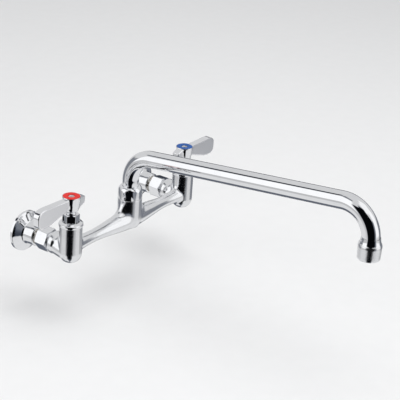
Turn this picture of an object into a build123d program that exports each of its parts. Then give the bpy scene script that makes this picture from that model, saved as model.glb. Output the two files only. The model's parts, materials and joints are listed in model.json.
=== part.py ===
from build123d import *
import os
from math import cos, radians, sin, tan

# Wall-mounted kitchen faucet with two quarter-turn lever valves and a swing spout.
# Millimetres. The origin is on the wall, midway between the two inlets, at their height.
# +X runs to the cold valve, +Y into the wall, +Z up. The spout points along -Y.

# ---- driving dimensions -------------------------------------------------------------
CENTRES = 203.2          # 8 inch inlet spacing
REACH = 304.8            # 12 inch spout, pivot to outlet
TUBE_OD = 19.05          # 3/4 inch spout tube
PROJECTION = 67.0        # wall to the valve axes
LEVER_LENGTH = 56.0      # valve axis to lever tip
SPOUT_RISE = 6.1         # slope of the spout's long run, degrees above level
RUNNING = 0.06           # radial clearance of a running fit

# ---- shared positions ---------------------------------------------------------------
HALF = CENTRES / 2
VALVE_Y = -PROJECTION
SIDES = {"hot": -1, "cold": 1}
TUBE_R = TUBE_OD / 2
UP = (0, 0, 1)
TO_WALL = (0, 1, 0)

# ---- body casting -------------------------------------------------------------------
BARREL_R = 12.65
BARREL_TOP = 27.2
BARREL_BOTTOM = -16.8
BARREL_DOME = -3.0       # where the rounded bottom of a barrel starts
CAVITY_R = 9.2           # bore that takes the cartridge
SEAT_Z = 5.0             # cartridge seat
CHAMBER_R = 6.0          # inlet chamber below the seat
CHAMBER_BOTTOM = -9.0
ARM_Z = 1.8
ARM_WAIST_R = 6.9
ARM_WAIST_X = 60.0
ARM_MID_R = 11.6
ARM_END_R = 9.6
WATERWAY_R = 3.2
POST_R = 13.9
POST_SHOULDER = 28.3     # the spout nut stands on this
POST_TOP = 33.0          # top of the spigot inside the spout nut
POST_SPIGOT_R = 12.1
POST_BOTTOM = -9.9
SPOUT_FLOOR = 8.0        # floor of the spout socket
BARREL_BLEND = 6.0
POST_BLEND = 16.0
NECK_R = 9.0             # inlet leg inside the coupling nut
NECK_BULGE_R = 12.6
NECK_BULGE = (14.5, 24.6)
NECK_END = 37.0
NECK_BORE_R = 5.2
ELBOW_R = 11.9           # slanted underside that joins each leg to its barrel
ELBOW_TOP = (18.0, -0.9)
ELBOW_FOOT = (0.0, -4.6)
LEG_BLEND = 3.0
RIM_ROUND = 0.8
WATERWAY_END = 83.0
SPOUT_SEALS = (15.0, 23.0)
SEAL_GROOVE = 2.2
SEAL_GROOVE_R = 11.4
SPOUT_SEAL_THICK = 1.75

# ---- inlets -------------------------------------------------------------------------
NUT_CORNER_R = 13.4
NUT_SPAN = (26.6, 41.0)  # distances from the valve axis towards the wall
NUT_LIP = 3.0
NUT_CHAMFER = 1.5
RETAINER_SPAN = (29.6, 31.1)
RETAINER_R = 8.2
RETAINER_ARC = 340
NUT_TURN = {"hot": -5.3, "cold": 12.0}
THREAD_R = 9.9
WASHER_SPAN = (37.0, 39.0)
THREAD_START = 39.0
SLEEVE_START = 45.6
SLEEVE_R = 12.3
FLANGE_R = 23.2
FLANGE_EDGE = 2.6        # thickness of the flange's rim
FLANGE_RISE = 9.4        # height of its hub above the wall
FLANGE_CROWN = 4.4       # height of its rounded rim above the wall
PIPE_R = 9.15            # tapping size of a 1/2 inch pipe thread
PIPE_DEPTH = 15.0
ADAPTER_BORE_R = 6.4

# ---- valve --------------------------------------------------------------------------
RING_R = 13.4
RING_TOP = 32.4
BONNET_FLATS = 16.2
BONNET_TOP = 41.0
BONNET_TURN = 12.0
BONNET_BODY_R = 9.1
STEM_R = 4.0
STEM_FLANGE_R = 7.9
DISC_R = 7.95
DISC_THICK = 2.5
SEAL_THICK = 2.0
STEM_TOP = 54.0
STEM_RING_Z = 24.0
STEM_RING_R = 5.6
STEM_SEAL_THICK = 1.45
STEM_SHOULDER = 15.0
STEM_SQUARE = 5.6
STEM_SQUARE_FOOT = 44.0
PORT_PITCH_R = 4.4
PORT_R = 2.1

# ---- lever --------------------------------------------------------------------------
HUB_TOP = 61.9
HUB_TOP_R = 10.2
HUB_FOOT = 41.5
HUB_FOOT_R = 5.6
BLADE_THICK = 8.6
BLADE_TOP = 61.2
BLADE_ROUND = 1.3
TAIL_ROUND = 1.2
TAIL_LENGTH = 17.5
TAIL_WIDTH = 9.0
INDEX_R = 9.3
INDEX_HOLE_R = 3.7
INDEX_THICK = 1.2
SCREW_R = 2.1
SCREW_HEAD_R = 3.5
SCREW_SEAT = 59.2
SCREW_DEPTH = 9.0
SOCKET_R = 1.5
SOCKET_DEPTH = 3.0

# ---- spout --------------------------------------------------------------------------
SPOUT_CORNER = 79.0      # height at which the rise and the run would meet
FIRST_BEND = 32.0
END_BEND = 33.0
TUBE_WALL = 1.2
TUBE_FOOT = 10.0
TUBE_END = 66.0
SPOUT_NUT_TOP = 43.0
SPOUT_NUT_FLATS = 10
SPOUT_NUT_R = 14.2
SPOUT_NUT_LIP = 38.2
SPOUT_NUT_TURN = 8.0
COLLAR_R = 11.9
OUTLET = 54.8            # height of the aerator's lower edge
AERATOR_TOP = 71.2
AERATOR_TOP_R = 12.35
AERATOR_FOOT_R = 11.8
BELL_TOP = 78.5
BELL_EASE = 0.25         # the bell's mouth opens a little, where the tube starts to bend
BELL_EASE_FOOT = 74.5
BELL_THREAD_R = 11.0
BELL_FOOT = 62.0
CORE_R = 10.3
CORE_TOP = 60.0
CORE_HOLES = (1, 6, 12)
SCREEN_HOLES = (1, 6, 12, 18, 24)
HOLE_SHARE = 0.36         # radius of a hole over the pitch of the rings


def closed_outline(*points):
    """Fills the polygon through the points on the current sketch plane."""
    with BuildLine() as outline:
        Polyline(*points, close=True)
    make_face(outline.edges())


def ring_outline(inner, outer, low, high):
    """Section of a plain ring: radii across, heights up."""
    closed_outline((inner, low), (outer, low), (outer, high), (inner, high))


def ring_outline_along(inner, outer, near, far):
    """Section of a plain ring on an inlet's axis: distances across, radii up."""
    closed_outline((near, inner), (far, inner), (far, outer), (near, outer))


def upright(x, y=VALVE_Y):
    """Section plane through a vertical axis: radius across, height up."""
    return Plane(origin=(x, y, 0), x_dir=(1, 0, 0), z_dir=(0, -1, 0))


def wallward(x):
    """Section plane through an inlet axis: distance to the wall across, radius up."""
    return Plane(origin=(x, VALVE_Y, 0), x_dir=TO_WALL, z_dir=(1, 0, 0))


def elbow_section(x, place):
    """Plane across an inlet leg, at a distance towards the wall and a height."""
    return Plane(origin=(x, VALVE_Y + place[0], place[1]), x_dir=(1, 0, 0), z_dir=TO_WALL)


def upright_axis(x, y=VALVE_Y):
    return Axis((x, y, 0), UP)


def wallward_axis(x):
    return Axis((x, VALVE_Y, 0), TO_WALL)


def seams(builder, where):
    """Free-form edges where two bodies of the casting meet, chosen by their middle."""
    curves = builder.edges().filter_by(GeomType.BSPLINE)
    curves = curves.filter_by(lambda edge: edge.bounding_box().size.Y > 1)
    return curves.filter_by(lambda edge: where(edge.center()))


def save(builder, name):
    builder.part.label = name
    export_step(builder.part, f"parts/{name}.step")


os.makedirs("parts", exist_ok=True)

# ---- faucet body: two valve barrels, the bridge, the spout post and the inlet legs -----
with BuildPart() as faucet_body:
    # the bridge, thickest under the post and slimmest halfway along each arm
    with BuildSketch(Plane(origin=(0, VALVE_Y, ARM_Z), x_dir=(1, 0, 0), z_dir=(0, -1, 0))):
        with BuildLine():
            bridge_top = Spline(
                (-HALF, ARM_END_R),
                (-ARM_WAIST_X, ARM_WAIST_R),
                (0, ARM_MID_R),
                (ARM_WAIST_X, ARM_WAIST_R),
                (HALF, ARM_END_R),
                tangents=((1, -0.12), (1, 0.12)),
            )
            Polyline(bridge_top @ 0, (-HALF, 0), (HALF, 0), bridge_top @ 1)
        make_face()
    revolve(axis=Axis((0, VALVE_Y, ARM_Z), (1, 0, 0)))

    # the spout post, round-bottomed where it melts into the bridge
    with BuildSketch(upright(0)):
        with BuildLine():
            post_side = Line((POST_R, POST_SHOULDER), (POST_R, ARM_Z + 8))
            post_dome = Spline(
                post_side @ 1,
                (POST_R * 0.72, POST_BOTTOM + 3.2),
                (0, POST_BOTTOM),
                tangents=((0, -1), (-1, 0)),
            )
            Polyline(post_dome @ 1, (0, POST_SHOULDER), post_side @ 0)
        make_face()
    revolve(axis=upright_axis(0))
    fillet(seams(faucet_body, lambda middle: abs(middle.X) < 2 * POST_R), POST_BLEND)

    # the valve barrels, domed below
    for direction in SIDES.values():
        x = direction * HALF
        with BuildSketch(upright(x)):
            with BuildLine():
                barrel_side = Line((BARREL_R, BARREL_TOP), (BARREL_R, BARREL_DOME))
                barrel_dome = Spline(
                    barrel_side @ 1,
                    (BARREL_R * 0.66, BARREL_BOTTOM + 3.1),
                    (0, BARREL_BOTTOM),
                    tangents=((0, -1), (-1, -0.15)),
                )
                Polyline(barrel_dome @ 1, (0, BARREL_TOP), barrel_side @ 0)
            make_face()
        revolve(axis=upright_axis(x))
    fillet(seams(faucet_body, lambda middle: 85 < abs(middle.X) < HALF - 4), BARREL_BLEND)

    # inlet legs towards the wall, each with a rounded shoulder in front of its nut
    for direction in SIDES.values():
        x = direction * HALF
        with BuildSketch(wallward(x)):
            with BuildLine():
                leg_root = Line((4, 0), (4, NECK_BULGE_R - 1.6))
                leg_waist = Line(leg_root @ 1, (NECK_BULGE[0] - 3, NECK_BULGE_R - 1.6))
                leg_bulge = Spline(
                    leg_waist @ 1,
                    (NECK_BULGE[0] + 4, NECK_BULGE_R),
                    (NECK_BULGE[1], NECK_R + 1.2),
                    tangents=((1, 0), (0.1, -1)),
                )
                Polyline(
                    leg_bulge @ 1,
                    (NECK_BULGE[1], NECK_R),
                    (NECK_END, NECK_R),
                    (NECK_END, 0),
                    leg_root @ 0,
                )
            make_face()
        revolve(axis=wallward_axis(x))
    fillet(
        seams(faucet_body, lambda middle: VALVE_Y + 4 < middle.Y < VALVE_Y + NECK_BULGE[0]),
        LEG_BLEND,
    )

    # the slanted underside of each elbow, from the leg's shoulder down to the barrel's foot
    for direction in SIDES.values():
        with BuildSketch(elbow_section(direction * HALF, ELBOW_TOP)):
            Circle(ELBOW_R)
        with BuildSketch(elbow_section(direction * HALF, ELBOW_FOOT)):
            Circle(ELBOW_R)
        loft()

    # the spigot that carries the spout nut
    with BuildSketch(upright(0)):
        ring_outline(0, POST_SPIGOT_R, POST_SHOULDER - 1, POST_TOP)
    revolve(axis=upright_axis(0))
    fillet(
        faucet_body.edges().filter_by(GeomType.CIRCLE).group_by(SortBy.RADIUS)[-1],
        RIM_ROUND,
    )

    # spout socket with two seal grooves, and the drain of the bridge into it
    with BuildSketch(upright(0)):
        ring_outline(0, CHAMBER_R, ARM_Z, POST_TOP)
        ring_outline(0, TUBE_R + RUNNING, SPOUT_FLOOR, POST_TOP)
        for height in SPOUT_SEALS:
            ring_outline(0, SEAL_GROOVE_R, height - SEAL_GROOVE / 2, height + SEAL_GROOVE / 2)
    revolve(axis=upright_axis(0), mode=Mode.SUBTRACT)
    with Locations(Location((0, VALVE_Y, ARM_Z), (0, 90, 0))):
        Cylinder(WATERWAY_R, 2 * WATERWAY_END, mode=Mode.SUBTRACT)

    # cartridge cavities, inlet chambers, inlet bores and the passages to the bridge
    for direction in SIDES.values():
        x = direction * HALF
        with BuildSketch(upright(x)):
            ring_outline(0, CAVITY_R, SEAT_Z, BARREL_TOP)
            ring_outline(0, CHAMBER_R, CHAMBER_BOTTOM, SEAT_Z)
        revolve(axis=upright_axis(x), mode=Mode.SUBTRACT)
        with BuildSketch(wallward(x)):
            ring_outline_along(0, NECK_BORE_R, 0, NECK_END)
            ring_outline_along(RETAINER_R, NECK_R + 1, *RETAINER_SPAN)
        revolve(axis=wallward_axis(x), mode=Mode.SUBTRACT)
        passage_start = Vector(direction * WATERWAY_END, VALVE_Y, ARM_Z)
        passage_end = Vector(direction * (HALF - CAVITY_R + 2), VALVE_Y, SEAT_Z + 4.5)
        passage = Plane(origin=passage_start, z_dir=passage_end - passage_start)
        with BuildSketch(passage):
            Circle(WATERWAY_R - 0.4)
        extrude(amount=(passage_end - passage_start).length, mode=Mode.SUBTRACT)
save(faucet_body, "faucet_body")

# ---- inlets and valves, one set for each side -------------------------------------------
for side, direction in SIDES.items():
    x = direction * HALF

    # wall flange with its pipe thread behind and the nut's thread in front
    with BuildPart() as inlet_flange:
        with BuildSketch(wallward(x)):
            with BuildLine():
                sleeve = Polyline(
                    (THREAD_START, ADAPTER_BORE_R),
                    (THREAD_START, THREAD_R - 0.7),
                    (THREAD_START + 0.7, THREAD_R),
                    (SLEEVE_START, THREAD_R),
                    (SLEEVE_START, SLEEVE_R - 0.5),
                    (SLEEVE_START + 0.5, SLEEVE_R),
                    (PROJECTION - FLANGE_RISE, SLEEVE_R),
                )
                cone = Line(sleeve @ 1, (PROJECTION - FLANGE_CROWN, FLANGE_R - 2.4))
                crown = Spline(
                    cone @ 1,
                    (PROJECTION - FLANGE_EDGE - 0.7, FLANGE_R - 0.7),
                    (PROJECTION - FLANGE_EDGE, FLANGE_R),
                    tangents=(cone % 1, (1, 0.3)),
                )
                Polyline(
                    crown @ 1,
                    (PROJECTION, FLANGE_R),
                    (PROJECTION, PIPE_R),
                    (PROJECTION - PIPE_DEPTH, PIPE_R),
                    (PROJECTION - PIPE_DEPTH - 2, ADAPTER_BORE_R),
                    sleeve @ 0,
                )
            make_face()
        revolve(axis=wallward_axis(x))
    save(inlet_flange, f"{side}_inlet_flange")

    # hexagonal coupling nut with turned corners
    with BuildPart() as coupling_nut:
        nut_plane = Plane(
            origin=(x, VALVE_Y + NUT_SPAN[0], 0), x_dir=(1, 0, 0), z_dir=TO_WALL
        )
        with BuildSketch(nut_plane):
            RegularPolygon(NUT_CORNER_R, 6, rotation=NUT_TURN[side])
        extrude(amount=NUT_SPAN[1] - NUT_SPAN[0])
        with BuildSketch(wallward(x)):
            closed_outline(
                (NUT_SPAN[0], 0),
                (NUT_SPAN[0], NUT_CORNER_R - NUT_CHAMFER),
                (NUT_SPAN[0] + NUT_CHAMFER / 2, NUT_CORNER_R),
                (NUT_SPAN[1] - NUT_CHAMFER / 2, NUT_CORNER_R),
                (NUT_SPAN[1], NUT_CORNER_R - NUT_CHAMFER),
                (NUT_SPAN[1], 0),
            )
        revolve(axis=wallward_axis(x), mode=Mode.INTERSECT)
        with BuildSketch(wallward(x)):
            ring_outline_along(0, NECK_R + 0.05, NUT_SPAN[0], NUT_SPAN[1])
            ring_outline_along(0, THREAD_R + 0.05, NUT_SPAN[0] + NUT_LIP, NUT_SPAN[1])
        revolve(axis=wallward_axis(x), mode=Mode.SUBTRACT)
    save(coupling_nut, f"{side}_coupling_nut")

    # split ring that keeps the nut on its leg
    with BuildPart() as nut_retainer:
        with BuildSketch(wallward(x)):
            ring_outline_along(RETAINER_R, THREAD_R - 0.1, *RETAINER_SPAN)
        revolve(axis=wallward_axis(x), revolution_arc=RETAINER_ARC)
    save(nut_retainer, f"{side}_nut_retainer")

    with BuildPart() as inlet_washer:
        with BuildSketch(wallward(x)):
            ring_outline_along(ADAPTER_BORE_R, THREAD_R - 0.4, *WASHER_SPAN)
        revolve(axis=wallward_axis(x))
    save(inlet_washer, f"{side}_inlet_washer")

    # bonnet: hexagon above, threaded cartridge housing with side ports below
    with BuildPart() as bonnet:
        with BuildSketch(Plane.XY.offset(RING_TOP - 1.5).move(Location((x, VALVE_Y, 0)))):
            RegularPolygon(BONNET_FLATS / 2, 6, major_radius=False, rotation=BONNET_TURN)
        extrude(amount=BONNET_TOP - RING_TOP + 1.5)
        bonnet_corner = BONNET_FLATS / 2 / cos(radians(30))
        with BuildSketch(upright(x)):
            closed_outline(
                (0, RING_TOP - 1.5),
                (bonnet_corner, RING_TOP - 1.5),
                (bonnet_corner, BONNET_TOP - 0.6),
                (bonnet_corner - 1.1, BONNET_TOP),
                (0, BONNET_TOP),
            )
        revolve(axis=upright_axis(x), mode=Mode.INTERSECT)
        with BuildSketch(upright(x)):
            ring_outline(0, BONNET_BODY_R, SEAT_Z + SEAL_THICK, RING_TOP - 1.5)
        revolve(axis=upright_axis(x))
        with BuildSketch(upright(x)):
            ring_outline(0, STEM_R + RUNNING, SEAT_Z, BONNET_TOP)
            ring_outline(0, DISC_R + 0.05, SEAT_Z, STEM_SHOULDER + 0.1)
            ring_outline(0, STEM_RING_R, STEM_RING_Z - 1, STEM_RING_Z + 1)
        revolve(axis=upright_axis(x), mode=Mode.SUBTRACT)
        with Locations((x, VALVE_Y, STEM_SHOULDER - 3.5)):
            Box(4 * BONNET_BODY_R, 6.5, 3.6, mode=Mode.SUBTRACT)
    save(bonnet, f"{side}_bonnet")

    # domed ring that finishes the joint between bonnet and barrel
    with BuildPart() as bonnet_ring:
        with BuildSketch(upright(x)):
            with BuildLine():
                ring_side = Polyline(
                    (BONNET_BODY_R, BARREL_TOP),
                    (RING_R - 0.5, BARREL_TOP),
                    (RING_R, BARREL_TOP + 0.5),
                    (RING_R, BARREL_TOP + 2.4),
                )
                ring_crown = Spline(
                    ring_side @ 1,
                    (RING_R - 1.5, RING_TOP - 1.1),
                    (BONNET_FLATS / 2 + 1.6, RING_TOP),
                    tangents=((0, 1), (-1, 0.35)),
                )
                Polyline(
                    ring_crown @ 1,
                    (BONNET_FLATS / 2 + 1.4, RING_TOP),
                    (BONNET_FLATS / 2 + 1.4, RING_TOP - 1.5),
                    (BONNET_BODY_R, RING_TOP - 1.5),
                    ring_side @ 0,
                )
            make_face()
        revolve(axis=upright_axis(x))
    save(bonnet_ring, f"{side}_bonnet_ring")

    with BuildPart() as stem_seal:
        with BuildSketch(upright(x)):
            with Locations((STEM_RING_R - STEM_SEAL_THICK / 2, STEM_RING_Z)):
                Circle(STEM_SEAL_THICK / 2)
        revolve(axis=upright_axis(x))
    save(stem_seal, f"{side}_stem_seal")

    with BuildPart() as seat_seal:
        with BuildSketch(upright(x)):
            ring_outline(CHAMBER_R, BONNET_BODY_R - 0.2, SEAT_Z, SEAT_Z + SEAL_THICK)
        revolve(axis=upright_axis(x))
    save(seat_seal, f"{side}_seat_seal")

    # ceramic discs: their ports line up after a quarter turn
    for disc_name, level, port_turn in (
        ("fixed_disc", SEAT_Z + SEAL_THICK, 0),
        ("rotor_disc", SEAT_Z + SEAL_THICK + DISC_THICK, 90),
    ):
        with BuildPart() as disc:
            with BuildSketch(Plane.XY.offset(level).move(Location((x, VALVE_Y, 0)))):
                Circle(DISC_R)
                with PolarLocations(PORT_PITCH_R, 2, start_angle=port_turn):
                    Circle(PORT_R, mode=Mode.SUBTRACT)
            extrude(amount=DISC_THICK)
        save(disc, f"{side}_{disc_name}")

    # stem: round where it runs in the bonnet, square where it drives the lever
    with BuildPart() as stem:
        stem_foot = SEAT_Z + SEAL_THICK + 2 * DISC_THICK
        with BuildSketch(upright(x)):
            ring_outline(0, STEM_FLANGE_R, stem_foot, STEM_SHOULDER)
            ring_outline(0, STEM_R, stem_foot, STEM_SQUARE_FOOT)
        revolve(axis=upright_axis(x))
        with BuildSketch(Plane.XY.offset(STEM_SQUARE_FOOT).move(Location((x, VALVE_Y, 0)))):
            Rectangle(STEM_SQUARE, STEM_SQUARE)
        extrude(amount=STEM_TOP - STEM_SQUARE_FOOT)
        with Locations((x, VALVE_Y, STEM_TOP)):
            Hole(SCREW_R, SCREW_DEPTH)
    save(stem, f"{side}_stem")

    # lever: flared hub, tall blade pointing outwards and a short counter-stub
    blade_plane = Plane(
        origin=(x, VALVE_Y, 0), x_dir=(direction, 0, 0), z_dir=(0, -direction, 0)
    )
    with BuildPart() as lever:
        with BuildSketch(blade_plane):
            with BuildLine():
                blade_top = Line((0, BLADE_TOP - 1.0), (LEVER_LENGTH - 13, BLADE_TOP))
                nose_top = Spline(
                    blade_top @ 1,
                    (LEVER_LENGTH - 3.2, BLADE_TOP - 2.6),
                    (LEVER_LENGTH, BLADE_TOP - 8.5),
                    tangents=((1, 0), (0, -1)),
                )
                nose_side = Line(nose_top @ 1, (LEVER_LENGTH - 0.4, BLADE_TOP - 14.5))
                nose_foot = Spline(
                    nose_side @ 1,
                    (LEVER_LENGTH - 3.0, BLADE_TOP - 19.6),
                    (LEVER_LENGTH - 10, BLADE_TOP - 21.4),
                    tangents=((-0.06, -1), (-1, 0)),
                )
                Polyline(
                    nose_foot @ 1,
                    (LEVER_LENGTH - 18, BLADE_TOP - 21.0),
                    (HUB_TOP_R, BLADE_TOP - 12.4),
                    (0, BLADE_TOP - 11.4),
                    blade_top @ 0,
                )
            make_face()
        extrude(amount=BLADE_THICK / 2, both=True)
        flat_sides = lever.faces().filter_by(Axis.Y)
        fillet(flat_sides.edges().filter_by(lambda edge: edge.length > 1), BLADE_ROUND)
        with BuildSketch(blade_plane):
            closed_outline(
                (0, HUB_TOP - 0.4),
                (-HUB_TOP_R, HUB_TOP - 0.9),
                (-TAIL_LENGTH, HUB_TOP - 4.2),
                (-TAIL_LENGTH, HUB_TOP - 11.2),
                (-HUB_TOP_R + 2, HUB_TOP - 16.4),
                (0, HUB_TOP - 16.4),
            )
        extrude(amount=TAIL_WIDTH / 2, both=True)
        tail_rim = lever.edges().filter_by(
            lambda edge: (edge.center().X - x) * direction < -HUB_TOP_R + 0.5
        )
        fillet(tail_rim, TAIL_ROUND)
        with BuildSketch(upright(x)):
            with BuildLine():
                hub_rim = Polyline(
                    (0, HUB_TOP), (HUB_TOP_R - 0.3, HUB_TOP), (HUB_TOP_R, HUB_TOP - 0.4)
                )
                hub_flank = Line(hub_rim @ 1, (HUB_TOP_R - 1.9, HUB_TOP - 14.2))
                hub_waist = Spline(
                    hub_flank @ 1,
                    (HUB_FOOT_R + 1.0, HUB_FOOT + 3.2),
                    (HUB_FOOT_R, HUB_FOOT + 1.6),
                    tangents=((-0.13, -1), (0, -1)),
                )
                Polyline(hub_waist @ 1, (HUB_FOOT_R, HUB_FOOT), (0, HUB_FOOT), hub_rim @ 0)
            make_face()
        revolve(axis=upright_axis(x))
        with BuildSketch(upright(x)):
            ring_outline(0, INDEX_R + 0.05, HUB_TOP - INDEX_THICK + 0.1, HUB_TOP)
            ring_outline(0, SCREW_HEAD_R + 0.1, SCREW_SEAT, HUB_TOP)
            ring_outline(0, SCREW_R + 0.1, STEM_TOP - 1, HUB_TOP)
            ring_outline(0, STEM_R + 0.1, HUB_FOOT, STEM_SQUARE_FOOT)
        revolve(axis=upright_axis(x), mode=Mode.SUBTRACT)
        with BuildSketch(Plane.XY.offset(STEM_SQUARE_FOOT).move(Location((x, VALVE_Y, 0)))):
            Rectangle(STEM_SQUARE, STEM_SQUARE)
        extrude(amount=STEM_TOP - STEM_SQUARE_FOOT, mode=Mode.SUBTRACT)
    save(lever, f"{side}_lever")

    # coloured index ring let into the hub
    with BuildPart() as index_ring:
        index_foot = HUB_TOP - INDEX_THICK + 0.1
        with BuildSketch(upright(x)):
            ring_outline(INDEX_HOLE_R, INDEX_R, index_foot, index_foot + INDEX_THICK)
        revolve(axis=upright_axis(x))
        chamfer(index_ring.edges().group_by(Axis.Z)[-1], 0.25)
    save(index_ring, f"{side}_index_ring")

    # socket-head screw that holds the lever on its stem
    with BuildPart() as lever_screw:
        with BuildSketch(upright(x)):
            ring_outline(0, SCREW_HEAD_R, SCREW_SEAT, HUB_TOP - 0.3)
            ring_outline(0, SCREW_R, STEM_TOP - SCREW_DEPTH + 1, SCREW_SEAT)
        revolve(axis=upright_axis(x))
        chamfer(lever_screw.edges().group_by(Axis.Z)[-1], 0.4)
        with BuildSketch(Plane.XY.offset(HUB_TOP - 0.3).move(Location((x, VALVE_Y, 0)))):
            RegularPolygon(SOCKET_R, 6)
        extrude(amount=-SOCKET_DEPTH, mode=Mode.SUBTRACT)
    save(lever_screw, f"{side}_lever_screw")

# ---- spout -----------------------------------------------------------------------------
outlet_y = VALVE_Y - REACH
run_end_z = SPOUT_CORNER + REACH * tan(radians(SPOUT_RISE))

# bent tube: up, over the long run, and down to the outlet
with BuildPart() as spout_tube:
    with BuildLine() as spout_route:
        FilletPolyline(
            (0, VALVE_Y, TUBE_FOOT),
            (0, VALVE_Y, SPOUT_CORNER),
            (0, outlet_y, run_end_z),
            (0, outlet_y, TUBE_END),
            radius=[FIRST_BEND, END_BEND],
        )
    with BuildSketch(Plane.XY.offset(TUBE_FOOT).move(Location((0, VALVE_Y, 0)))):
        Circle(TUBE_R)
        Circle(TUBE_R - TUBE_WALL, mode=Mode.SUBTRACT)
    sweep(path=spout_route.wires()[0])
save(spout_tube, "spout_tube")

# collar brazed on the tube, caught between the post and the nut's lip
with BuildPart() as spout_collar:
    with BuildSketch(upright(0)):
        ring_outline(TUBE_R, COLLAR_R, POST_TOP + 1.2, SPOUT_NUT_LIP - 0.15)
    revolve(axis=upright_axis(0))
save(spout_collar, "spout_collar")

with BuildPart() as spout_thrust_washer:
    with BuildSketch(upright(0)):
        ring_outline(TUBE_R + 0.1, COLLAR_R, POST_TOP, POST_TOP + 1.1)
    revolve(axis=upright_axis(0))
save(spout_thrust_washer, "spout_thrust_washer")

# two seals in the grooves of the spout socket
with BuildPart() as spout_seals:
    for height in SPOUT_SEALS:
        with BuildSketch(upright(0)):
            with Locations((SEAL_GROOVE_R - SPOUT_SEAL_THICK / 2, height)):
                Circle(SPOUT_SEAL_THICK / 2)
        revolve(axis=upright_axis(0))
save(spout_seals, "spout_seals")

# faceted spout nut with a domed crown
with BuildPart() as spout_nut:
    with BuildSketch(Plane.XY.offset(POST_SHOULDER + 0.2).move(Location((0, VALVE_Y, 0)))):
        RegularPolygon(SPOUT_NUT_R, SPOUT_NUT_FLATS, rotation=SPOUT_NUT_TURN)
    extrude(amount=SPOUT_NUT_TOP - POST_SHOULDER - 0.2)
    with BuildSketch(upright(0)):
        with BuildLine():
            nut_side = Polyline(
                (0, POST_SHOULDER + 0.2),
                (SPOUT_NUT_R - 0.8, POST_SHOULDER + 0.2),
                (SPOUT_NUT_R, POST_SHOULDER + 0.8),
                (SPOUT_NUT_R, SPOUT_NUT_LIP - 0.6),
            )
            nut_crown = Spline(
                nut_side @ 1,
                (SPOUT_NUT_R - 1.6, SPOUT_NUT_TOP - 1.9),
                (SPOUT_NUT_R - 3.9, SPOUT_NUT_TOP),
                tangents=((-0.25, 1), (-1, 0.3)),
            )
            Polyline(nut_crown @ 1, (0, SPOUT_NUT_TOP), nut_side @ 0)
        make_face()
    revolve(axis=upright_axis(0), mode=Mode.INTERSECT)
    with BuildSketch(upright(0)):
        ring_outline(0, POST_SPIGOT_R + 0.05, POST_SHOULDER, SPOUT_NUT_LIP)
        ring_outline(0, TUBE_R + RUNNING, SPOUT_NUT_LIP, SPOUT_NUT_TOP)
    revolve(axis=upright_axis(0), mode=Mode.SUBTRACT)
save(spout_nut, "spout_nut")

# flared bell on the end of the tube, with the aerator's thread below it
with BuildPart() as outlet_bell:
    with BuildSketch(upright(0, outlet_y)):
        with BuildLine():
            bell_foot = Polyline(
                (TUBE_R + BELL_EASE, BELL_TOP),
                (TUBE_R, BELL_EASE_FOOT),
                (TUBE_R, TUBE_END),
                (TUBE_R - TUBE_WALL, TUBE_END),
                (TUBE_R - TUBE_WALL, BELL_FOOT),
                (BELL_THREAD_R, BELL_FOOT),
                (BELL_THREAD_R, AERATOR_TOP),
                (AERATOR_TOP_R - 0.4, AERATOR_TOP),
            )
            bell_flare = Spline(
                bell_foot @ 1,
                (TUBE_R + 1.0, AERATOR_TOP + 3.2),
                (TUBE_R + BELL_EASE + 0.2, BELL_TOP),
                tangents=((-0.9, 1), (-0.05, 1)),
            )
            Line(bell_flare @ 1, bell_foot @ 0)
        make_face()
    revolve(axis=upright_axis(0, outlet_y))
save(outlet_bell, "outlet_bell")

with BuildPart() as aerator_shell:
    with BuildSketch(upright(0, outlet_y)):
        closed_outline(
            (BELL_THREAD_R + 0.05, AERATOR_TOP),
            (BELL_THREAD_R + 0.05, CORE_TOP),
            (CORE_R + 0.05, CORE_TOP),
            (CORE_R + 0.05, OUTLET + 1.2),
            (CORE_R - 1.3, OUTLET + 1.2),
            (CORE_R - 1.3, OUTLET),
            (AERATOR_FOOT_R - 0.5, OUTLET),
            (AERATOR_FOOT_R, OUTLET + 0.5),
            (AERATOR_TOP_R, AERATOR_TOP - 1.4),
            (AERATOR_TOP_R - 0.7, AERATOR_TOP),
        )
    revolve(axis=upright_axis(0, outlet_y))
save(aerator_shell, "aerator_shell")

with BuildPart() as aerator_washer:
    with BuildSketch(upright(0, outlet_y)):
        ring_outline(CORE_R - 2.8, BELL_THREAD_R - 0.1, CORE_TOP, BELL_FOOT)
    revolve(axis=upright_axis(0, outlet_y))
save(aerator_washer, "aerator_washer")


def perforate(radius, holes):
    """Cuts rings of round holes through the sketch, one ring for each entry of holes."""
    pitch = radius / (len(holes) - 0.35)
    for ring_index, count in enumerate(holes):
        with PolarLocations(ring_index * pitch, count):
            Circle(HOLE_SHARE * pitch, mode=Mode.SUBTRACT)


# flow core and the fine screen at the mouth
for plate_name, plate_foot, plate_top, holes in (
    ("aerator_core", OUTLET + 2.0, CORE_TOP, CORE_HOLES),
    ("aerator_screen", OUTLET + 1.2, OUTLET + 1.9, SCREEN_HOLES),
):
    with BuildPart() as plate:
        with BuildSketch(Plane.XY.offset(plate_foot).move(Location((0, outlet_y, 0)))):
            Circle(CORE_R)
            perforate(CORE_R - 1.4, holes)
        extrude(amount=plate_top - plate_foot)
    save(plate, plate_name)
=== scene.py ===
# %% [markdown]
# # A wall-mounted kitchen faucet in polished chrome
# The shapes and sizes of this faucet were settled in a CAD program and arrive here as a fixed
# frame: every casting, nut, washer and lever is already in its place, in metres. This lesson
# gives them smooth skins, adds the screw threads, makes each finish out of shader nodes, and
# lights the chrome in a studio. The wall is the plane y = 0, +Z is up, and the spout points
# along -Y.

# %% Load the frame and note its box
import json
import math

import bmesh
import bpy
from mathutils import Matrix, Vector

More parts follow.
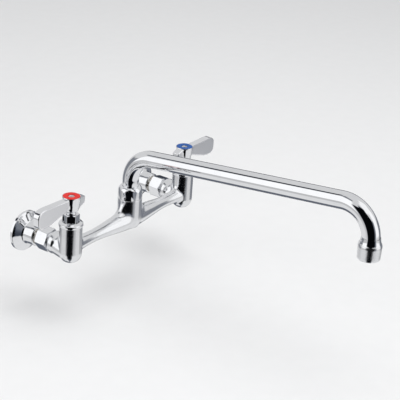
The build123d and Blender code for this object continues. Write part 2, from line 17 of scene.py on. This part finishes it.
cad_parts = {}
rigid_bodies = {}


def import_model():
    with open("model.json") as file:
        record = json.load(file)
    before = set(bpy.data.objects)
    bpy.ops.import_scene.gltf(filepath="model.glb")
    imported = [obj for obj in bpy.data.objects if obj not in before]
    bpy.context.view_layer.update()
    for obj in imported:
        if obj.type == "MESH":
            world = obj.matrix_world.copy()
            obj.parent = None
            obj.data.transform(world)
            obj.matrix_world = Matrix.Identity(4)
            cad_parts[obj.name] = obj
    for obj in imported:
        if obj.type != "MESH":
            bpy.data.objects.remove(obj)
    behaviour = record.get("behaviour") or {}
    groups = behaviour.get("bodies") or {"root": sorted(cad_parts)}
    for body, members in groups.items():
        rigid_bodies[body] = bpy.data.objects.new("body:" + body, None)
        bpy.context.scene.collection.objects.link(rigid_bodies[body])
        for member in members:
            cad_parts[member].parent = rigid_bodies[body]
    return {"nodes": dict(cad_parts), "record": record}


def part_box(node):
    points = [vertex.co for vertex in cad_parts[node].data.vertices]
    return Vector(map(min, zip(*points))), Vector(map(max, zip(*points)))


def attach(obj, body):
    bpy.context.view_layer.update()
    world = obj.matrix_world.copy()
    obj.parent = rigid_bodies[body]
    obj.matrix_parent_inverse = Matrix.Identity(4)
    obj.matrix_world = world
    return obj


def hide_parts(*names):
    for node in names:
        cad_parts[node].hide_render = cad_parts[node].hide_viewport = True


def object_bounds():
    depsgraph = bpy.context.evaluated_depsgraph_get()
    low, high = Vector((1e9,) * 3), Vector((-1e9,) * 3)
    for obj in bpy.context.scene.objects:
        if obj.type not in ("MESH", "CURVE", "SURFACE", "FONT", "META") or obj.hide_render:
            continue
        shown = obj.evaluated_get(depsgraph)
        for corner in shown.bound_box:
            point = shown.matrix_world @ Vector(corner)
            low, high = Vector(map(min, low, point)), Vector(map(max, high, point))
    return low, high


for leftover in list(bpy.data.objects):
    bpy.data.objects.remove(leftover)
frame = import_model()
cad_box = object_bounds()
MM = 0.001
SIDES = ("hot", "cold")
print("CAD nodes:", len(frame["nodes"]), "box:", [round(v, 4) for corner in cad_box for v in corner])

# %% [markdown]
# ## Camera
# A long lens almost a metre and a half away flattens the perspective, as catalogues do: the
# near lever and the far one keep almost the same size. The camera looks down from the hot side
# and is rolled by a few degrees. Its place is worked out from three angles, a distance and the
# point it aims at, which are easier to reason about than the entries of a matrix.

# %% Place the camera
AIM_Y = -67 * MM
AZIMUTH = math.radians(-55.89)
ELEVATION = math.radians(23.70)
ROLL = math.radians(4.0)
DISTANCE = 1.43042
AIM_RIGHT = 79.74 * MM
AIM_UP = 27.97 * MM
LENS = 112.3

backward = Vector(
    (
        math.sin(AZIMUTH) * math.cos(ELEVATION),
        -math.cos(AZIMUTH) * math.cos(ELEVATION),
        math.sin(ELEVATION),
    )
)
level_right = (-backward).cross(Vector((0, 0, 1))).normalized()
level_up = level_right.cross(-backward)
right = level_right * math.cos(ROLL) + level_up * math.sin(ROLL)
up = level_up * math.cos(ROLL) - level_right * math.sin(ROLL)

camera = bpy.data.objects.new("camera", bpy.data.cameras.new("camera"))
bpy.context.scene.collection.objects.link(camera)
bpy.context.scene.camera = camera
camera.data.sensor_width = 36
camera.data.lens = LENS
camera.data.clip_end = 50
aim = level_right * AIM_RIGHT + level_up * AIM_UP + Vector((0, AIM_Y, 0))
turn = Matrix((right, up, backward)).transposed()
camera.matrix_world = Matrix.LocRotScale(aim + backward * DISTANCE, turn, None)
bpy.context.scene.view_settings.view_transform = "Standard"
print("camera at", [round(v, 3) for v in camera.location])

# %% [markdown]
# ## Writing node trees as arithmetic
# A shader is a recipe of small sums. Clicking them together by hand is slow to read later, so
# one small class wraps a socket: adding or multiplying two wires makes the Math node for it.
# Everything that isn't arithmetic comes from a single method, `Tree.node`, which takes the
# node's type, its settings and what goes into its sockets.

# %% The wire and tree classes
class Wire:
    """One output socket, ready for arithmetic."""

    def __init__(self, tree, socket):
        self.tree = tree
        self.socket = socket

    def math(self, operation, *values):
        return self.tree.node("ShaderNodeMath", {"operation": operation}, dict(enumerate(values)))

    def __add__(self, other):
        return self.math("ADD", self, other)

    def __sub__(self, other):
        return self.math("SUBTRACT", self, other)

    def __rsub__(self, other):
        return self.math("SUBTRACT", other, self)

    def __mul__(self, other):
        return self.math("MULTIPLY", self, other)

    def __truediv__(self, other):
        return self.math("DIVIDE", self, other)

    def __abs__(self):
        return self.math("ABSOLUTE", self)

    __radd__ = __add__
    __rmul__ = __mul__

    def step(self, low, high):
        """0 below low, 1 above high, and smooth between; the other way round if high < low."""
        start, end = sorted((low, high))
        values = {
            "Value": self,
            "From Min": start,
            "From Max": end,
            "To Min": float(low > high),
            "To Max": float(high > low),
        }
        return self.tree.node("ShaderNodeMapRange", {"interpolation_type": "SMOOTHSTEP"}, values)

    def between(self, first, second):
        """A colour or number between two others."""
        values = {"Factor": self, "A": first, "B": second}
        return self.tree.node("ShaderNodeMix", {"data_type": "RGBA"}, values)


def pick(sockets, key):
    """The enabled socket with this number or this name."""
    live = [s for s in sockets if s.enabled]
    return live[key] if isinstance(key, int) else next(s for s in live if s.name == key)


class Tree:
    """A node tree that is being written: a material's, the world's or a geometry modifier's."""

    def __init__(self, nodes_and_links):
        self.group = nodes_and_links
        self.group.nodes.clear()

    def node(self, kind, settings=None, values=None, out=0):
        """A new node of a type; its settings and inputs are set, and one output comes back."""
        made = self.group.nodes.new(kind)
        for key, value in (settings or {}).items():
            setattr(made, key, value)
        for key, value in (values or {}).items():
            self.plug(pick(made.inputs, key), value)
        return Wire(self, pick(made.outputs, out)) if made.outputs else None

    def plug(self, socket, value):
        """A wire is linked to the socket, and anything else becomes its value."""
        if isinstance(value, Wire):
            self.group.links.new(value.socket, socket)
        elif socket.type == "RGBA" and len(value) == 3:
            socket.default_value = (*value, 1)
        else:
            socket.default_value = value

    def vector(self, operation, *values, out=0):
        return self.node("ShaderNodeVectorMath", {"operation": operation}, dict(enumerate(values)), out)

    def parts(self, vector):
        split = self.node("ShaderNodeSeparateXYZ", None, {0: vector})
        return [Wire(self, s) for s in split.socket.node.outputs]

    def millimetres(self, stretch=(1, 1, 1), centre=(0, 0, 0)):
        """The piece's own coordinates in millimetres, from a centre given in metres."""
        place = self.node("ShaderNodeTexCoord", out="Object")
        scale = tuple(s / MM for s in stretch)
        offset = tuple(-c * s for c, s in zip(centre, scale))
        values = {"Vector": place, "Location": offset, "Scale": scale}
        return self.node("ShaderNodeMapping", None, values)

    def noise(self, place, scale, detail=2.0, roughness=0.5):
        values = {"Vector": place, "Scale": scale, "Detail": detail, "Roughness": roughness}
        return self.node("ShaderNodeTexNoise", None, values)


print("node classes ready")

# %% [markdown]
# ## The studio
# Chrome has no colour of its own: it shows the room, so the room is built first. A bright
# sheet hangs on each side of the faucet, the walls further back are greyer, and the ground is
# pale. Behind the camera the sheets leave a gap: the dark room seen through it draws the black
# stripe down every upright cylinder, and a dark beam under the roof draws the thin line along
# the spout. The room here is the world shader. Each sheet is a patch in compass direction and
# height, painted over the ones before it, so it can be moved or dimmed like a real one.

# %% Paint the room into the world
world = bpy.data.worlds.new("studio")
bpy.context.scene.world = world
world.use_nodes = True
room = Tree(world.node_tree)
east, north, height = room.parts(room.node("ShaderNodeTexCoord", out="Generated"))
DEGREE = math.pi / 180

# the compass angle is 0 towards the camera and grows to the camera's right
ahead = east * math.sin(AZIMUTH) - north * math.cos(AZIMUTH)
aside = east * math.cos(AZIMUTH) + north * math.sin(AZIMUTH)
compass = ahead.math("ARCTAN2", aside, ahead) / DEGREE
tilt = height.math("ARCSINE", height) / DEGREE


def inside(angle, low, high, soft):
    """1 between two angles in degrees, 0 outside them, with a soft edge."""
    return angle.step(low - soft, low + soft) * angle.step(high + soft, high - soft)


# each sheet: compass from and to, height from and to, all in degrees, and its brightness
SHEETS = {
    "far right": (104, 200, -30, 9, 0.25),
    "left shadow": (-136, -91, -28, 12, 0.26),
    "left sheet": (-90, -41, -6, 50, 1.10),
    "left sheet, low end": (-90, -41, -24, -6, 0.56),
    "roof beam": (-111, -91, 42, 60, 0.04),
    "roof beam, front": (-92, -40, 54, 66, 0.20),
    "right sheet": (57, 103, -12, 66, 1.04),
    "overhead right": (14, 122, 44, 76, 1.00),
    "grey edge": (40, 57, -26, 26, 0.24),
    "ground": (-200, 200, -100, -27, 0.78),
    "ground behind": (-200, -103, -100, -45, 0.17),
    "dark behind": (160, 200, -42, 10, 0.07),
    "dark behind, left": (-200, -174, -42, 10, 0.07),
}
WALL = 0.69
SOFT_EDGE = 3.5
glow = WALL
for left_edge, right_edge, bottom, top, brightness in SHEETS.values():
    patch = inside(compass, left_edge, right_edge, SOFT_EDGE)
    patch = patch * inside(tilt, bottom, top, SOFT_EDGE)
    glow = glow + patch * (brightness - glow)

# the gap is narrower high up and low down, and a little light comes up from its floor
GAP_HALF_WIDTH = 43
NARROWER_ABOVE = 25
NARROWER_BELOW = 17
GAP_EDGE = 4
GAP_LIGHT = 0.003
GAP_FLOOR_LIGHT = 0.13
half_gap = GAP_HALF_WIDTH - NARROWER_ABOVE * tilt.step(24, 46) - NARROWER_BELOW * tilt.step(-22, -32)
gap = (abs(compass) - half_gap).step(GAP_EDGE, -GAP_EDGE) * tilt.step(56, 50)
gap_light = GAP_LIGHT + GAP_FLOOR_LIGHT * tilt.step(-45, -80)
glow = glow + gap * (gap_light - glow)

# the dark parts of the room are bluish, the bright ones nearly white
DARK_TINT = (0.62, 0.74, 1.0)
BRIGHT_TINT = (0.985, 0.99, 1.0)
tint = glow.step(0.0, 0.45).between(DARK_TINT, BRIGHT_TINT)
background = room.node("ShaderNodeBackground", None, {"Color": tint, "Strength": glow})
room.node("ShaderNodeOutputWorld", None, {"Surface": background})
print("world nodes:", len(world.node_tree.nodes))

# %% [markdown]
# ## Floor and soft lamps
# A pale floor lies below the faucet and takes its soft shadow. The faucet hangs on a wall, so
# the floor isn't part of what it reflects: the ray switch for reflections is off, and the
# chrome keeps seeing the studio's own ground. Two big soft lamps light the plastic rings and
# the floor.

# %% Make the floor and the lamps
FLOOR_DROP = 60 * MM
FLOOR_SIZE = 12.0
floor_height = cad_box[0].z - FLOOR_DROP
half = FLOOR_SIZE / 2
corners = [(-half, -half), (half, -half), (half, half), (-half, half)]
floor_mesh = bpy.data.meshes.new("floor")
floor_mesh.from_pydata([(x, y, floor_height) for x, y in corners], [], [(0, 1, 2, 3)])
floor = bpy.data.objects.new("floor", floor_mesh)
bpy.context.scene.collection.objects.link(floor)
floor.visible_glossy = False

paper = bpy.data.materials.new("floor_paper")
paper.use_nodes = True
sheet = Tree(paper.node_tree)
fibre = sheet.noise(sheet.millimetres(), 0.05, 4.0)
shade = fibre.between((0.80, 0.80, 0.80), (0.83, 0.83, 0.83))
surface = sheet.node("ShaderNodeBsdfPrincipled", None, {"Base Color": shade, "Roughness": 0.9})
sheet.node("ShaderNodeOutputMaterial", None, {"Surface": surface})
floor_mesh.materials.append(paper)


LAMP_AIM = Vector((0, -0.2, 0))


def soft_lamp(name, place, size, watts):
    """A square soft lamp aimed at the faucet, which lights matt things only."""
    lamp = bpy.data.objects.new(name, bpy.data.lights.new(name, "AREA"))
    bpy.context.scene.collection.objects.link(lamp)
    lamp.data.size = size
    lamp.data.energy = watts
    lamp.visible_glossy = False
    lamp.location = place
    lamp.rotation_mode = "QUATERNION"
    lamp.rotation_quaternion = (LAMP_AIM - Vector(place)).to_track_quat("-Z", "Y")
    return lamp


soft_lamp("overhead", (0.1, -0.3, 1.6), 1.4, 14)
soft_lamp("left_front", (-1.4, -0.9, 0.9), 1.0, 6)
print("floor at", round(floor_height, 4))

# %% [markdown]
# ## Chrome
# Chrome plate is a mirror over whatever the metal was before. A polished casting keeps a faint
# orange-peel ripple, a turned nut keeps the fine rings of the lathe, and everything in a
# kitchen collects hairline scratches, wiping haze and dried water drops. Each of these is a
# small change in roughness or height, and the mirror underneath does the rest. All the chrome
# shares one recipe. How finely the metal was buffed before plating sets how sharp the mirror
# is, and the centre of a turned part tells the recipe where the lathe's axis was.

# %% The chrome recipe
def finish_material(name, write):
    """Makes a material and lets write(tree) fill in its Principled sockets."""
    material = bpy.data.materials.new(name)
    material.use_nodes = True
    tree = Tree(material.node_tree)
    principled = tree.node("ShaderNodeBsdfPrincipled", None, write(tree))
    tree.node("ShaderNodeOutputMaterial", None, {"Surface": principled})
    return material


SCRATCHES_PER_METRE = 9000


def hairlines(tree, turn, reach):
    """Fine scratches in one direction, reach mm long: 1 on a scratch, 0 beside it."""
    place = tree.node("ShaderNodeTexCoord", out="Object")
    stretch = (1 / (reach * MM), SCRATCHES_PER_METRE, SCRATCHES_PER_METRE)
    values = {"Vector": place, "Rotation": turn, "Scale": stretch}
    return tree.noise(tree.node("ShaderNodeMapping", None, values), 1.0, 1.0).step(0.66, 0.72)


def dried_drops(tree):
    """Thin rings that drops of hard water leave behind."""
    values = {"Vector": tree.millimetres(), "Scale": 0.22}
    distance = tree.node("ShaderNodeTexVoronoi", {"feature": "F1"}, values)
    rim = abs(distance - 0.21).step(0.035, 0.01)
    return rim * tree.noise(tree.millimetres(), 0.06).step(0.52, 0.62)


def lathe_rings(tree, axis, centre):
    """Lines that run round an axis, on the side and on the end faces of a turned part."""
    across = tuple(0 if i == axis else 1 for i in range(3))
    along = tuple(1 if i == axis else 0 for i in range(3))
    radius = tree.vector("LENGTH", tree.millimetres(across, centre), out="Value")
    travel = tree.parts(tree.millimetres(along, centre))[axis]
    groove = {"W": radius + travel, "Scale": 7.0, "Detail": 3.0, "Roughness": 0.7}
    return tree.node("ShaderNodeTexNoise", {"noise_dimensions": "1D"}, groove)


MIRROR = (0.90, 0.905, 0.92)
HAZED_MIRROR = tuple(0.965 * c for c in MIRROR)
SATIN_MIRROR = (0.97, 0.97, 0.985)
POLISHED = 0.035
BUFFED = 0.15
BRUSHED = 0.20


def chrome(name, ripple=0.0, rings=None, satin=None, buff=POLISHED):
    """Chrome plate; ripple in millimetres, rings as (axis number, centre), satin(tree) as a mask.

    buff is the roughness that the polishing left under the plate."""

    def write(tree):
        haze = tree.noise(tree.millimetres(), 0.09, 3.0)
        drops = dried_drops(tree)
        scratches = hairlines(tree, (0.3, 0.5, 0.2), 9.0) + hairlines(tree, (1.1, -0.4, 2.0), 7.0)
        roughness = buff + 0.035 * haze.step(0.45, 0.75) + 0.05 * drops + 0.03 * scratches
        relief = tree.noise(tree.millimetres(), 0.11, 1.0) * ripple - 0.0004 * scratches
        colour = haze.step(0.35, 0.75).between(MIRROR, HAZED_MIRROR)
        if rings:
            groove = lathe_rings(tree, *rings)
            roughness = roughness + 0.05 * groove.step(0.42, 0.7)
            relief = relief + 0.0009 * groove
        if satin:
            mask = satin(tree)
            grain = tree.noise(tree.millimetres((0.035, 1, 5.0)), 1.6, 4.0, 0.6)
            roughness = roughness + mask * (0.22 + 0.10 * grain)
            relief = relief + mask * grain * 0.0006
            colour = mask.between(colour, SATIN_MIRROR)
        bump = tree.node("ShaderNodeBump", None, {"Strength": 1.0, "Distance": MM, "Height": relief})
        return {"Base Color": colour, "Metallic": 1.0, "Roughness": roughness, "Normal": bump}

    return finish_material(name, write)


def lever_sides(tree):
    """The two broad sides of a lever, which are ground satin; its rims are buffed bright."""
    facing = tree.parts(tree.node("ShaderNodeTexCoord", out="Normal"))[1]
    return abs(facing).step(0.93, 0.985)


finishes = {
    "casting": chrome("chrome_casting", ripple=0.010, buff=BUFFED),
    "tube": chrome("chrome_tube", ripple=0.004),
    "lever": chrome("chrome_lever", ripple=0.006, satin=lever_sides),
}
print("chrome finishes:", sorted(finishes))

# %% [markdown]
# ## Brass, bronze, steel, rubber, plastic and ceramic
# The small parts are not plated. The thread behind each coupling nut is bare brass, gone dull
# and olive with damp. The index rings are moulded plastic, coloured right through. Screws and
# screens are stainless steel, seals are black rubber, and the discs that shut the water off
# are lapped ceramic. Every one of them gets its colour from two tones and a noise, plus the
# small relief that its making leaves.

# %% The plain finishes
def two_tone(name, tones, roughness, scale, relief, metallic=0.0, shine=0.5):
    """A material of two close tones, with a rougher and a smoother state between them."""

    def write(tree):
        place = tree.millimetres()
        cloud = tree.noise(place, scale, 5.0, 0.6)
        fine = tree.noise(place, scale * 9, 2.0)
        height = {"Strength": 1.0, "Distance": MM, "Height": fine * relief}
        return {
            "Base Color": cloud.step(0.36, 0.64).between(*tones),
            "Metallic": metallic,
            "Roughness": roughness[0] + (roughness[1] - roughness[0]) * cloud.step(0.3, 0.7),
            "Specular IOR Level": shine,
            "Normal": tree.node("ShaderNodeBump", None, height),
        }

    return finish_material(name, write)


# material name, two tones, roughness from and to, noise scale per mm, relief in mm
METALS = {
    "thread": ("tarnished_brass", ((0.30, 0.235, 0.115), (0.16, 0.13, 0.075)), (0.24, 0.5), 0.6, 0.01),
    "brass": ("turned_brass", ((0.80, 0.61, 0.30), (0.66, 0.48, 0.22)), (0.16, 0.3), 0.4, 0.004),
    "bronze": ("spring_bronze", ((0.70, 0.47, 0.26), (0.55, 0.35, 0.19)), (0.25, 0.4), 0.5, 0.004),
    "steel": ("machined_steel", ((0.86, 0.86, 0.86), (0.74, 0.74, 0.75)), (0.14, 0.28), 0.8, 0.004),
    "mesh": ("pierced_steel", ((0.62, 0.62, 0.63), (0.48, 0.48, 0.50)), (0.25, 0.42), 0.9, 0.006),
}
SOFT_AND_CERAMIC = {
    "rubber": ("black_rubber", ((0.020, 0.020, 0.021), (0.035, 0.035, 0.036)), (0.6, 0.78), 0.8, 0.012),
    "plastic": ("white_acetal", ((0.84, 0.84, 0.82), (0.78, 0.78, 0.75)), (0.34, 0.46), 0.5, 0.006),
    "ceramic": ("lapped_ceramic", ((0.90, 0.88, 0.84), (0.84, 0.82, 0.78)), (0.10, 0.2), 0.4, 0.002),
}
INDEX_PLASTIC = {
    "hot": ("red_index", ((0.70, 0.012, 0.006), (0.60, 0.008, 0.005)), (0.28, 0.38), 0.7, 0.006),
    "cold": ("blue_index", ((0.004, 0.085, 0.34), (0.003, 0.065, 0.28)), (0.28, 0.38), 0.7, 0.006),
}
INDEX_SHINE = 0.22
finishes.update({key: two_tone(*look, metallic=1.0) for key, look in METALS.items()})
finishes.update({key: two_tone(*look) for key, look in SOFT_AND_CERAMIC.items()})
finishes.update({key: two_tone(*look, shine=INDEX_SHINE) for key, look in INDEX_PLASTIC.items()})
print("finishes:", len(finishes))

# %% [markdown]
# ## Smooth skins over the CAD nodes
# The frame's meshes are loose triangles, fine for measuring but not for a mirror: light needs
# normals that turn smoothly across a rounded shoulder and break only at a real edge. Each
# visible node is therefore copied, its loose corners are welded, edges sharper than a crease
# angle are marked, and the normals are weighted by face area so that flat facets stay flat
# right up to their rounded rims.

# %% Weld and smooth a copy of a node
WELD = 0.002 * MM
SKIN_CREASE = 28.0
BODY_CREASE = 32.0
EVEN_WEIGHT = 60
slots = {row["node"]: row["material_slot"] for row in frame["record"]["subparts"]}
body_of_node = {n: body for body, names in frame["record"]["behaviour"]["bodies"].items() for n in names}


def smooth_skin(node, material, crease=SKIN_CREASE):
    """A welded, smooth-shaded copy of a CAD node that stands in for it."""
    shape = bmesh.new()
    shape.from_mesh(frame["nodes"][node].data)
    bmesh.ops.remove_doubles(shape, verts=shape.verts, dist=WELD)
    bmesh.ops.dissolve_degenerate(shape, dist=WELD / 4, edges=shape.edges)
    mesh = bpy.data.meshes.new(node + "_skin")
    shape.to_mesh(mesh)
    shape.free()
    mesh.shade_smooth()
    mesh.set_sharp_from_angle(angle=math.radians(crease))
    mesh.materials.clear()
    mesh.materials.append(material)
    piece = bpy.data.objects.new(node + "_skin", mesh)
    bpy.context.scene.collection.objects.link(piece)
    even = piece.modifiers.new("even_normals", "WEIGHTED_NORMAL")
    even.keep_sharp = True
    even.weight = EVEN_WEIGHT
    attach(piece, body_of_node[node])
    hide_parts(node)
    return piece


def turned(node, axis, buff=POLISHED):
    """Turned chrome for a node, with its lathe rings about the node's own middle."""
    low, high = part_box(node)
    return chrome(node + "_chrome", rings=(axis, tuple((low + high) / 2)), buff=buff)


# on each side, a turned piece has its lathe axis and the others have the name of a finish
ALONG_Y = 1
ALONG_Z = 2
skins = [smooth_skin("faucet_body", finishes["casting"], BODY_CREASE)]
for side in SIDES:
    looks = {
        "inlet_flange": ALONG_Y,
        "coupling_nut": ALONG_Y,
        "bonnet": ALONG_Z,
        "bonnet_ring": ALONG_Z,
        "lever": "lever",
        "index_ring": side,
        "lever_screw": "steel",
        "stem": ALONG_Z,
    }
    for name, look in looks.items():
        node = f"{side}_{name}"
        material = turned(node, look) if isinstance(look, int) else finishes[look]
        skins.append(smooth_skin(node, material))
for node, buff in {"spout_nut": POLISHED, "outlet_bell": POLISHED, "aerator_shell": BRUSHED}.items():
    skins.append(smooth_skin(node, turned(node, ALONG_Z, buff)))
print("skins:", len(skins), "triangles:", sum(len(s.data.polygons) for s in skins))

# %% [markdown]
# ## The spout tube
# The spout is one length of drawn tube bent twice: up out of the post, along over the sink and
# down to the outlet. A tube that follows a route is what Geometry Nodes do best: three straight
# runs, a Fillet Curve node that rounds each corner with its own radius, and a circle carried
# along the result. The named inputs are the sizes on a bender's drawing. The circle makes only
# the outer surface, and a Solidify modifier gives the tube its wall.

# %% A helper for geometry trees, and the tube
PIECE_CREASE = 35


def geometry_piece(name, inputs, write, material, body):
    """Runs a geometry tree once and keeps its mesh as a plain piece on a body."""
    group = bpy.data.node_groups.new(name, "GeometryNodeTree")
    for label, (kind, _) in inputs.items():
        group.interface.new_socket(label, in_out="INPUT", socket_type="NodeSocket" + kind)
    group.interface.new_socket("Geometry", in_out="OUTPUT", socket_type="NodeSocketGeometry")
    tree = Tree(group)
    entry = group.nodes.new("NodeGroupInput")
    sizes = {label: Wire(tree, entry.outputs[label]) for label in inputs}
    real = tree.node("GeometryNodeRealizeInstances", None, {"Geometry": write(tree, sizes)})
    smooth = tree.node("GeometryNodeSetShadeSmooth", None, {"Geometry": real})
    coloured = tree.node("GeometryNodeSetMaterial", None, {"Geometry": smooth, "Material": material})
    tree.node("NodeGroupOutput", None, {"Geometry": coloured})

    maker = bpy.data.objects.new(name + "_maker", bpy.data.meshes.new(name + "_maker"))
    bpy.context.scene.collection.objects.link(maker)
    modifier = maker.modifiers.new("shape", "NODES")
    modifier.node_group = group
    for socket in group.interface.items_tree:
        if socket.in_out == "INPUT":
            modifier[socket.identifier] = inputs[socket.name][1]
    graph = bpy.context.evaluated_depsgraph_get()
    mesh = bpy.data.meshes.new_from_object(maker.evaluated_get(graph))
    maker.modifiers.remove(modifier)
    bpy.data.objects.remove(maker)
    mesh.name = name
    mesh.shade_smooth()
    mesh.set_sharp_from_angle(angle=math.radians(PIECE_CREASE))
    piece = bpy.data.objects.new(name, mesh)
    bpy.context.scene.collection.objects.link(piece)
    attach(piece, body)
    print(name, "faces:", len(mesh.polygons))
    return piece


tube_low, tube_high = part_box("spout_tube")
TUBE_RADIUS = (tube_high.x - tube_low.x) / 2
TUBE_WALL = 1.2 * MM
SPOUT_CORNER = 79 * MM
SPOUT_RISE = math.radians(6.1)
TUBE_END = 66 * MM
FIRST_BEND = 32 * MM
END_BEND = 33 * MM
BEND_STEPS = 56
TUBE_SIDES = 144
post_y = tube_high.y - TUBE_RADIUS
outlet_y = tube_low.y + TUBE_RADIUS
reach = post_y - outlet_y


def write_tube(tree, size):
    """Three straight runs, rounded at both corners, with a circle carried along them."""
    corners = [size["Foot"], size["First corner"], size["Second corner"], size["Outlet"]]
    runs = [
        tree.node("GeometryNodeCurvePrimitiveLine", None, {"Start": a, "End": b})
        for a, b in zip(corners, corners[1:])
    ]
    joined = tree.node("GeometryNodeJoinGeometry")
    for run in reversed(runs):
        tree.plug(joined.socket.node.inputs[0], run)
    points = tree.node("GeometryNodeCurveToMesh", None, {"Curve": joined})
    welded = tree.node("GeometryNodeMergeByDistance", None, {"Geometry": points, "Distance": 0.01 * MM})
    route = tree.node("GeometryNodeMeshToCurve", None, {"Mesh": welded})
    place = tree.parts(tree.node("GeometryNodeInputPosition"))[1]
    near_post = place.math("GREATER_THAN", place, (post_y + outlet_y) / 2)
    radius = size["End bend"] + near_post * (size["First bend"] - size["End bend"])
    bends = {"Curve": route, "Count": BEND_STEPS, "Radius": radius, "Limit Radius": True}
    bent = tree.node("GeometryNodeFilletCurve", {"mode": "POLY"}, bends)
    circle = {"Resolution": TUBE_SIDES, "Radius": size["Tube radius"]}
    ring = tree.node("GeometryNodeCurvePrimitiveCircle", None, circle)
    return tree.node("GeometryNodeCurveToMesh", None, {"Curve": bent, "Profile Curve": ring})


tube_sizes = {
    "Foot": ("Vector", (0, post_y, tube_low.z)),
    "First corner": ("Vector", (0, post_y, SPOUT_CORNER)),
    "Second corner": ("Vector", (0, outlet_y, SPOUT_CORNER + reach * math.tan(SPOUT_RISE))),
    "Outlet": ("Vector", (0, outlet_y, TUBE_END)),
    "First bend": ("Float", FIRST_BEND),
    "End bend": ("Float", END_BEND),
    "Tube radius": ("Float", TUBE_RADIUS),
}
tube = geometry_piece("spout_tube_bent", tube_sizes, write_tube, finishes["tube"], "spout")
wall = tube.modifiers.new("wall", "SOLIDIFY")
wall.thickness = TUBE_WALL
wall.offset = -1
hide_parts("spout_tube")

# %% [markdown]
# ## Screw threads
# Between each coupling nut and its sleeve a few turns of bare thread show, and there is a pipe
# thread inside each inlet, behind the wall flange. Both are a Spiral curve with a small round
# ridge carried along it. The ridge's middle lies close to the surface of the plain cylinder
# that CAD left, so part of it is buried and the crest is rounded, as on a rolled thread.

# %% Wind the threads with one geometry tree
COIL_STEPS = 72
RIDGE_SIDES = 10


def write_thread(tree, size):
    """A coil of the given pitch with a round ridge along it, laid down along the inlet."""
    spiral = {
        "Resolution": COIL_STEPS,
        "Rotations": size["Length"] / size["Pitch"],
        "Start Radius": size["Radius"],
        "End Radius": size["Radius"],
        "Height": size["Length"],
    }
    coil = tree.node("GeometryNodeCurveSpiral", None, spiral)
    circle = {"Resolution": RIDGE_SIDES, "Radius": size["Ridge"]}
    ridge = tree.node("GeometryNodeCurvePrimitiveCircle", None, circle)
    sweep = {"Curve": coil, "Profile Curve": ridge, "Fill Caps": True}
    swept = tree.node("GeometryNodeCurveToMesh", None, sweep)
    lay_down = {"Geometry": swept, "Translation": size["Start"], "Rotation": (math.pi / 2, 0, 0)}
    return tree.node("GeometryNodeTransform", None, lay_down)


# radius, pitch, length and ridge of each thread
COUPLING = (9.75 * MM, 1.27 * MM, 6.2 * MM, 0.42 * MM)
PIPE = (9.25 * MM, 1.814 * MM, 13.0 * MM, 0.55 * MM)
COUPLING_SHOWS = 5.0 * MM
PIPE_LEAD = 1.2 * MM
for side in SIDES:
    flange_low, flange_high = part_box(f"{side}_inlet_flange")
    axis_x = (flange_low.x + flange_high.x) / 2
    nut_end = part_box(f"{side}_coupling_nut")[1].y
    threads = {"coupling": (nut_end + COUPLING_SHOWS, COUPLING), "pipe": (-PIPE_LEAD, PIPE)}
    for name, (start, measures) in threads.items():
        thread = {"Start": ("Vector", (axis_x, start, 0))}
        for label, measure in zip(("Radius", "Pitch", "Length", "Ridge"), measures):
            thread[label] = ("Float", measure)
        piece = geometry_piece(f"{side}_{name}_thread", thread, write_thread, finishes["thread"], "base")

# %% [markdown]
# ## Finishes for the hidden parts
# The seals, discs, washers and retainers stay as CAD made them. They show only when the
# faucet is taken apart or seen up its outlet, but they still get their real finishes, because
# a part library is looked at from every side. Only the material in each slot is changed.

# %% Give the remaining nodes their materials
finish_of_slot = {
    "black_rubber": "rubber",
    "ceramic_disc": "ceramic",
    "spring_bronze": "bronze",
    "white_plastic": "plastic",
    "steel_mesh": "mesh",
    "brass_stem": "brass",
}
dressed = 0
for name, node in frame["nodes"].items():
    if slots[name] in finish_of_slot:
        for place in node.material_slots:
            place.material = finishes[finish_of_slot[slots[name]]]
        dressed += 1
print("carried-over nodes dressed:", dressed)
